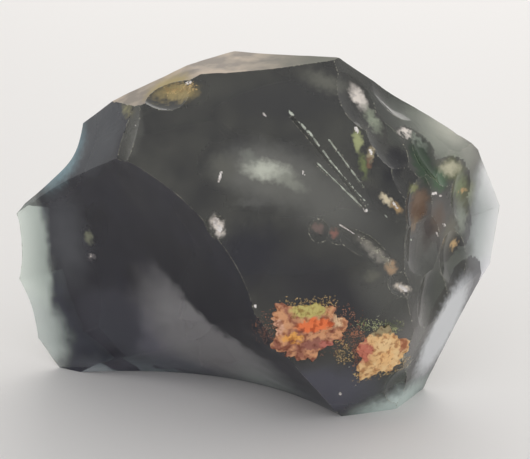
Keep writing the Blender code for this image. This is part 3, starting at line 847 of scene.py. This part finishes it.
def tint_with_painted_light_and_shade(tree):
    """The tint of the glass where nothing has bruised it, with its painted reflections, light and shade."""
    place = place_of(tree, 3.0, 2.5)
    dome = noise_between(tree, 0.35, 0.68, 190.0, *DOME_TINTS)
    scar = noise_between(tree, 0.35, 0.68, 190.0, *SCAR_PAINTED_SHADE_TINTS)
    which = tree.nodes.new("ShaderNodeAttribute")
    which.attribute_name = "scar"
    tint = mixed(tree, which.outputs["Fac"], painted(tree, dome, DOME_PAINTED_LIGHT_SHADE_AND_STAINS, place),
                 painted(tree, scar, SCAR_PAINTED_LIGHT_AND_SHADE, place))
    return painted(tree, tint, EDGE_SEE_THROUGH_AND_PAINTED_LIGHT, place)


def glass_material():
    """Nearly black glass: thin parts let light through, thick parts swallow it."""
    made, tree, shader = new_material("tektite_glass")
    # the colour of the glass carries its painted reflections, light and shade
    tree.links.new(tint_with_painted_light_and_shade(tree), shader.inputs["Base Color"])
    shader.inputs["Transmission Weight"].default_value = 1 - CLOUDY
    shader.inputs["Roughness"].default_value = GLASS_ROUGHNESS
    shader.inputs["IOR"].default_value = GLASS_IOR
    absorb = tree.nodes.new("ShaderNodeVolumeAbsorption")
    absorb.inputs["Color"].default_value = (*GLASS_ABSORBS, 1)
    absorb.inputs["Density"].default_value = GLASS_DENSITY
    tree.links.new(absorb.outputs["Volume"], tree.nodes["Material Output"].inputs["Volume"])
    return made


def bruise_and_painted_light_material():
    """Glass whose surface is bruised or stained, or painted with highlights, shade and the light through thin
    edges: as dark as the glass around it where a patch fades.
    """
    made, tree, shader = new_material("glass_with_bruises_and_painted_light")
    shader.inputs["Roughness"].default_value = BRUISE_AND_PAINTED_LIGHT_ROUGHNESS
    haze = tree.nodes.new("ShaderNodeVectorMath")
    haze.operation = "SCALE"
    haze.inputs["Scale"].default_value = CLOUDY
    tree.links.new(tint_with_painted_light_and_shade(tree), haze.inputs["Vector"])
    tint = painted(tree, haze.outputs["Vector"], BRUISES_AND_PAINTED_LIGHT, place_of(tree, 1.9, 0.9))
    tree.links.new(tint, shader.inputs["Base Color"])
    return made


def matt_material(name, roughness, dark, light, scale, patches=()):
    """Crushed, stained and soiled glass, and glass painted with highlights and a reflection: matt, and uneven
    in colour.
    """
    made, tree, shader = new_material(name)
    shader.inputs["Roughness"].default_value = roughness
    tint = painted(tree, noise_between(tree, 0.40, 0.60, scale, dark, light), patches,
                   place_of(tree, 2.0, 1.2))
    tree.links.new(tint, shader.inputs["Base Color"])
    return made


def crust_material(name, dark, light, patches):
    """Baked soil: patches of several rusty colours, speckled darker by fine noise."""
    made, tree, shader = new_material(name)
    shader.inputs["Roughness"].default_value = 0.85
    tint = noise_between(tree, 0.42, 0.58, 600.0, dark, light)
    tint = painted(tree, tint, patches, place_of(tree, 2.2, 0.9))
    fine = noise_between(tree, 0.38, 0.50, 1300.0, (0.62, 0.50, 0.46), (1.0, 1.0, 1.0))
    speck = tree.nodes.new("ShaderNodeMix")
    speck.data_type = "RGBA"
    speck.blend_type = "MULTIPLY"
    speck.inputs["Factor"].default_value = 1.0
    tree.links.new(tint, speck.inputs[6])
    tree.links.new(fine, speck.inputs[7])
    tree.links.new(speck.outputs[2], shader.inputs["Base Color"])
    return made


def plain_floor():
    bpy.ops.mesh.primitive_plane_add(size=6.0)
    floor = bpy.context.object
    floor.name = "floor"
    made, _, shader = new_material("floor_look")
    shader.inputs["Base Color"].default_value = (*FLOOR_COLOUR, 1)
    shader.inputs["Roughness"].default_value = 0.6
    floor.data.materials.append(made)


def lights():
    world = bpy.data.worlds.new("world")
    bpy.context.scene.world = world
    world.use_nodes = True
    tree = world.node_tree
    back = tree.nodes["Background"]
    place = tree.nodes.new("ShaderNodeTexCoord")
    split = tree.nodes.new("ShaderNodeSeparateXYZ")
    ramp = tree.nodes.new("ShaderNodeValToRGB")
    ramp.color_ramp.elements[0].position = 0.20
    ramp.color_ramp.elements[0].color = (*SKY_FRONT, 1)
    ramp.color_ramp.elements[1].position = 0.85
    ramp.color_ramp.elements[1].color = (*SKY_BACK, 1)
    shift = tree.nodes.new("ShaderNodeMapRange")
    shift.inputs["From Min"].default_value = -1.0
    shift.inputs["From Max"].default_value = 1.0
    tree.links.new(place.outputs["Generated"], split.inputs["Vector"])
    tree.links.new(split.outputs["Y"], shift.inputs["Value"])
    tree.links.new(shift.outputs["Result"], ramp.inputs["Fac"])
    tree.links.new(ramp.outputs["Color"], back.inputs["Color"])
    back.inputs["Strength"].default_value = SKY_STRENGTH
    lamp = bpy.data.lights.new("window", "AREA")
    lamp.shape = "RECTANGLE"
    lamp.size, lamp.size_y = WINDOW_SIZE
    lamp.energy = WINDOW_POWER
    lamp.color = WINDOW_COLOUR
    window = bpy.data.objects.new("window", lamp)
    bpy.context.scene.collection.objects.link(window)
    window.location = WINDOW_AT
    window.rotation_euler = Vector(window.location).to_track_quat("Z", "Y").to_euler()


def camera():
    made = bpy.data.objects.new("camera", bpy.data.cameras.new("camera"))
    bpy.context.scene.collection.objects.link(made)
    back = direction(0, CAMERA_HEIGHT_ANGLE)
    made.location = (Vector(AIM) + back * CAMERA_DISTANCE) * MM
    made.rotation_euler = back.to_track_quat("Z", "Y").to_euler()
    made.data.sensor_width = SENSOR
    made.data.lens = SENSOR * (CAMERA_DISTANCE / PIXEL) / PHOTO_WIDTH
    made.data.clip_start = 0.01
    bpy.context.scene.camera = made


def body_piece(pieces, cutters):
    body, tree = glass_lump(pieces, cutters)
    for polygon in body.data.polygons:
        polygon.use_smooth = True
    speckle(body)
    looks = {"glass": glass_material(), "bruise_and_painted_light": bruise_and_painted_light_material()}
    for look, row in MATT_LOOKS.items():
        looks[look] = matt_material(*row, CREST_PAINTED_SHADE_AND_STAIN if look == "crest" else ())
    for look in LOOKS:
        body.data.materials.append(looks[look])
    body.data.set_sharp_from_angle(angle=math.radians(CREASE_ANGLE))
    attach(body, "root")
    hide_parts("glass_body")
    return tree


def crust_pieces(pieces, tree):
    for name, place, half_width, half_height, *waves in CRUSTS:
        slot, look, dark, light, patches, start_at = CRUST_LOOKS[name]
        crust = crust_lump(pieces, tree, "look_" + name, place, half_width, half_height, waves, start_at)
        crust.data.materials.append(crust_material(look, dark, light, patches))
        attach(crust, "root")
        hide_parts(name)


def main():
    pieces = collection("pieces")
    cutters = collection("cutters")
    tree = body_piece(pieces, cutters)
    crust_pieces(pieces, tree)
    bpy.data.collections.remove(cutters)
    plain_floor()
    lights()
    camera()
    scene = bpy.context.scene
    scene.view_settings.view_transform = "Standard"
    scene.cycles.use_denoising = True


main()
